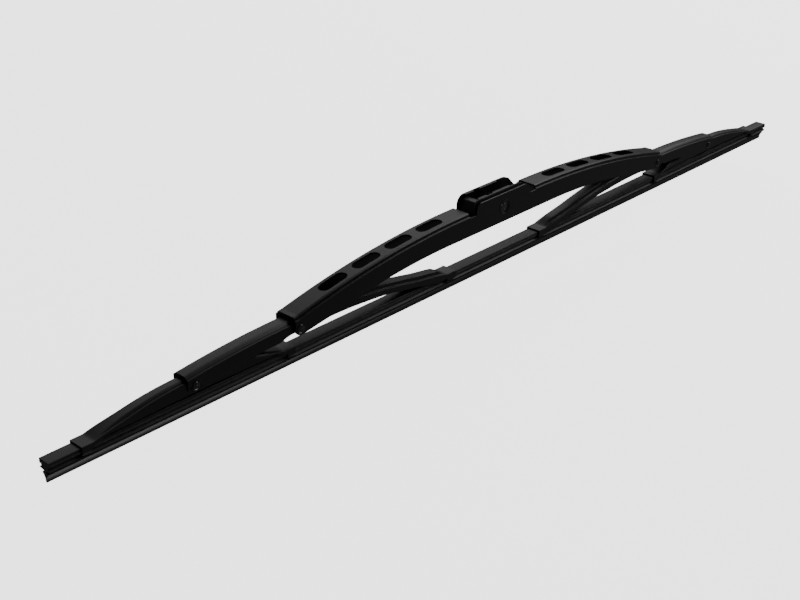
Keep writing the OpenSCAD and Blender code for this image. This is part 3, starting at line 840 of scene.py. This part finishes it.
class WIPER_OT_rails(bpy.types.Operator):
    """Spring steel rails in the grooves of the strip's head"""

    bl_idname = "wiper.rails"
    bl_label = "Steel rails"

    def execute(self, context):
        ring = np.concatenate([[[1.66, 10.05]], arc((3.54, 9.66), 0.39, 90, -90, 9), [[1.66, 9.27]]])
        for rail, across in (("front_rail", -1.0), ("rear_rail", 1.0)):
            lay(rail, rail, ring * [across, 1], "black_steel")
        return {"FINISHED"}


# Plastic parts


class WIPER_OT_adapter(bpy.types.Operator):
    """Adapter clip: two cheeks with pads that hold the hook, a ramp at the back and the hub on the pin"""

    bl_idname = "wiper.adapter"
    bl_label = "Adapter"

    # heights and half length of the cheeks, the radius at their back and where their nose starts
    top, low, half, back_r, nose = 50.05, 35.4, 25.3, 5.5, 13.0
    inner, outer, hub, bore = 5.42, 6.32, 5.0, 2.55
    # the pads: where each starts and ends, their face, their lower edge and the length of their flanks
    pads = ((-20.0, -13.0), (-8.0, 7.0))
    pad_face, pad_low, pad_flank = 4.2, 42.0, 0.12

    def execute(self, context):
        made = Patches()
        for side in (-1.0, 1.0):
            self.cheek(made, side)
        self.ramp(made)
        tube = np.array([[self.bore, -6.1], [self.hub, -6.1], [self.hub, 6.1], [self.bore, 6.1]])
        made.grid(lathe(tube, 64, (0.0, 0.0, PIN_Z)), wrap_rows=True, wrap_columns=True)
        data = made.mesh("adapter_moulded", FINE_WELD, turn_out=True)
        add_piece("adapter_moulded", data, "adapter", ["adapter"],
                  material("moulded_plastic"))
        return {"FINISHED"}

    def outline(self, x):
        """Upper and lower edge of a cheek: a quarter circle at the back and a long nose at the front, whose
        fall is read between pairs of x and drop; slanted corners at the foot."""
        back = arc_drop(np.clip(self.back_r - self.half - x, 0.0, self.back_r), self.back_r)
        nose = np.interp(x, [self.nose, 15.0, 16.6, 18.5, 20.4, 22.3, 24.2, self.half],
                         [0.0, 0.25, 0.75, 1.8, 3.3, 5.1, 7.0, 7.7])
        foot = np.maximum(np.clip(5.0 - self.half - x, 0, 5), np.clip((x - self.half + 7.0) * 5 / 7, 0, 5))
        return self.top - back - nose, self.low + foot

    def cheek(self, made, side):
        """One cheek: at each station a closed ring of outer face, flat top, inner face and foot. The inner
        face steps inwards to the pads."""
        soft = 0.16
        edges = np.array([edge for pad in self.pads for edge in pad])
        x = np.unique(np.round(np.concatenate([
            self.back_r * (1 - np.cos(np.radians(np.linspace(0, 90, 16)))) - self.half,
            np.arange(-19.5, 13.1, 0.65), np.linspace(self.nose, self.half, 26), edges, edges + self.pad_flank, edges - self.pad_flank]), 3))
        high, low = self.outline(x)
        on = np.zeros_like(x)
        for start, end in self.pads:
            inside = np.minimum(x - start, end - x) / self.pad_flank
            on = np.maximum(on, np.clip(inside + 1.0, 0.0, 1.0))
        face = self.inner - on * (self.inner - self.pad_face)
        outer, inner = np.full_like(x, self.outer), np.full_like(x, self.inner)
        corner = arc((0.0, 0.0), soft, 0, 90, 5)
        brow, under = high - soft, self.pad_low - 0.1
        rows = [(outer, low + (brow - low) * t) for t in (0.0, 0.25, 0.5, 0.75, 1.0)]
        rows += [(outer - soft + across, brow + up) for across, up in corner[1:]]
        rows += [(face + soft - across, brow + up) for across, up in corner[::-1]]
        rows += [(face, self.pad_low + (brow - self.pad_low) * t) for t in (0.75, 0.5, 0.25, 0.0)]
        rows += [(inner, low + (under - low) * t) for t in (1.0, 0.5, 0.0)]
        p = np.empty((len(x), len(rows), 3))
        p[..., 0] = x[:, None]
        p[..., 1] = side * np.stack([y for y, z in rows], 1)
        p[..., 2] = np.stack([z for y, z in rows], 1)
        made.grid(p, wrap_columns=True)
        made.cap(p[0]).cap(p[-1])

    def ramp(self, made):
        """Ramp between the cheeks: a rounded profile carried across the blade."""
        crest = np.concatenate([arc((-20.9, 46.6), 1.4, 150, 92, 7), arc((-17.9, 47.0), 0.9, 80, 10, 6)])
        profile = np.concatenate([[[-24.6, 40.2], [-23.4, 43.6], [-22.4, 46.0]], crest,
                                  [[-15.9, 45.3], [-15.4, 43.0], [-17.3, 40.2]]])
        y = np.linspace(-5.6, 5.6, 9)
        p = np.empty((len(y), len(profile), 3))
        p[..., 0], p[..., 2] = profile[:, 0], profile[:, 1]
        p[..., 1] = y[:, None]
        made.grid(p, wrap_columns=True)
        made.cap(p[0]).cap(p[-1])


class WIPER_OT_liners(bpy.types.Operator):
    """Pivot liners of moulded plastic, with the soft edges of the mould"""

    bl_idname = "wiper.liners"
    bl_label = "Pivot liners"

    edge = 0.12

    def execute(self, context):
        for name, _ in SIDES:
            self.moulded(name + "_main_liner", "bridge")
            self.moulded(name + "_tip_liner", name + "_middle")
        return {"FINISHED"}

    def moulded(self, node, body):
        """A copy of a solid's surface with its flats joined and its edges rounded."""
        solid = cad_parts[node]
        data = solid.data.copy()
        data.name = node + "_moulded"
        data.materials.clear()
        data.transform(solid.matrix_world)
        work = bmesh.new()
        work.from_mesh(data)
        bmesh.ops.remove_doubles(work, verts=work.verts, dist=FINE_WELD * MM)
        bmesh.ops.dissolve_limit(work, angle_limit=math.radians(1.0), verts=work.verts, edges=work.edges)
        work.to_mesh(data)
        work.free()
        piece = add_piece(data.name, data, body, [node], material("moulded_plastic"), 40.0)
        bevel(piece, "Mould edges", self.edge * MM, 3, 40)


# Stage


class WIPER_OT_stage(bpy.types.Operator):
    """Pale floor, soft lights and the camera"""

    bl_idname = "wiper.stage"
    bl_label = "Stage"

    # name, place, target, size and power of each light, in metres and watts
    lights = (
        ("back_light", (1.26, 1.26, 0.93), (0.0, 0.0, 0.0), (2.2, 0.5), 3.8),
        ("upper_light", (0.49, 0.85, 1.26), (0.0, 0.0, 0.0), (1.4, 0.8), 2.0),
        ("side_light", (0.98, -0.03, 0.98), (0.0, 0.0, 0.0), (1.1, 0.75), 4.4),
        ("hand_light", (0.9, -0.58, 0.85), (0.0, 0.0, 0.0), (0.5, 0.5), 2.6),
        ("low_light", (1.0, -0.55, -0.4), (0.1, 0.0, 0.0), (0.8, 0.8), 0.12),
        ("table_light", (0.12, -0.12, -0.9), (-0.25, 0.0, 0.0), (0.5, 0.5), 1.1))
    # floor: height and half length in millimetres, and strength of its glow
    floor_z, floor_half, floor_glow = -20.0, 4000.0, 2.6
    sky = 0.085
    # the camera's place in metres and its angles below the horizon and to the right of Y, in degrees
    eye = (-0.543642, -0.442067, 0.332580)
    look_down, look_right = 26.8812, 46.5277

    def execute(self, context):
        self.floor()
        for light in self.lights:
            self.light(*light)
        world = bpy.data.worlds.new("studio")
        world.use_nodes = True
        world.node_tree.nodes["Background"].inputs[0].default_value = (1.0, 1.0, 1.0, 1.0)
        world.node_tree.nodes["Background"].inputs[1].default_value = self.sky
        context.scene.world = world
        self.camera(context)
        return {"FINISHED"}

    def floor(self):
        """A square of plain pale floor, lit from within so that it stays even, and low enough for the yokes
        when they are turned down to the joints' limits."""
        made = Patches()
        x = np.linspace(-self.floor_half, self.floor_half, 3)
        p = np.zeros((3, 3, 3))
        p[..., 0], p[..., 1] = x[:, None], x
        p[..., 2] = self.floor_z
        floor = bpy.data.objects.new("floor", made.grid(p).mesh("floor", 0.001))
        bpy.context.scene.collection.objects.link(floor)
        s = Shader("pale_floor")
        colour = (*finishes().floor, 1.0)
        floor.data.materials.append(s.finish(colour, 0.9, Emission_Color=colour,
                                             Emission_Strength=self.floor_glow, Specular_IOR_Level=0.0))
        floor.visible_glossy = False
        floor.visible_diffuse = False
        floor.visible_shadow = False

    def light(self, name, place, target, size, power):
        """A rectangular light at a place, turned towards its target."""
        lamp = bpy.data.lights.new(name, "AREA")
        lamp.shape = "RECTANGLE"
        lamp.size, lamp.size_y = size
        lamp.energy = power
        thing = bpy.data.objects.new(name, lamp)
        bpy.context.scene.collection.objects.link(thing)
        thing.location = place
        aim = np.array(target) - np.array(place)
        aim = aim / np.linalg.norm(aim)
        pitch = math.acos(-aim[2])
        thing.rotation_euler = (pitch, 0.0, math.atan2(-aim[0], aim[1]))

    def camera(self, context):
        """The camera, at the place and angles that fit the photo."""
        lens = bpy.data.cameras.new("camera")
        lens.lens = sizes().camera_lens
        lens.sensor_width = 36.0
        lens.clip_start, lens.clip_end = 0.01, 50.0
        thing = bpy.data.objects.new("camera", lens)
        context.scene.collection.objects.link(thing)
        thing.location = self.eye
        thing.rotation_euler = (math.radians(90 - self.look_down), 0.0, math.radians(-self.look_right))
        context.scene.camera = thing


class WIPER_PT_panel(bpy.types.Panel):
    """Lists the sizes, the finishes and the pieces"""

    bl_idname = "WIPER_PT_panel"
    bl_label = "Wiper blade"
    bl_space_type = "VIEW_3D"
    bl_region_type = "UI"
    bl_category = "Wiper"

    def draw(self, context):
        for group in (context.scene.wiper_sizes, context.scene.wiper_finishes):
            box = self.layout.box()
            for key in group.__annotations__:
                box.prop(group, key)
        for operator in OPERATORS:
            self.layout.operator(operator.bl_idname)


OPERATORS = (WIPER_OT_bridge, WIPER_OT_middle_yokes, WIPER_OT_end_yokes, WIPER_OT_rivets, WIPER_OT_strip,
             WIPER_OT_rails, WIPER_OT_adapter, WIPER_OT_liners, WIPER_OT_stage)
CLASSES = (Sizes, Finishes, *OPERATORS, WIPER_PT_panel)


def register():
    for cls in CLASSES:
        bpy.utils.register_class(cls)
    bpy.types.Scene.wiper_sizes = bpy.props.PointerProperty(type=Sizes)
    bpy.types.Scene.wiper_finishes = bpy.props.PointerProperty(type=Finishes)


def unregister():
    del bpy.types.Scene.wiper_finishes
    del bpy.types.Scene.wiper_sizes
    for cls in reversed(CLASSES):
        bpy.utils.unregister_class(cls)


def main():
    """Builds every piece in order."""
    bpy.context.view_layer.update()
    register()
    for operator in OPERATORS:
        group, name = operator.bl_idname.split(".")
        getattr(getattr(bpy.ops, group), name)()
    bpy.context.view_layer.update()


if __name__ == "__main__":
    main()
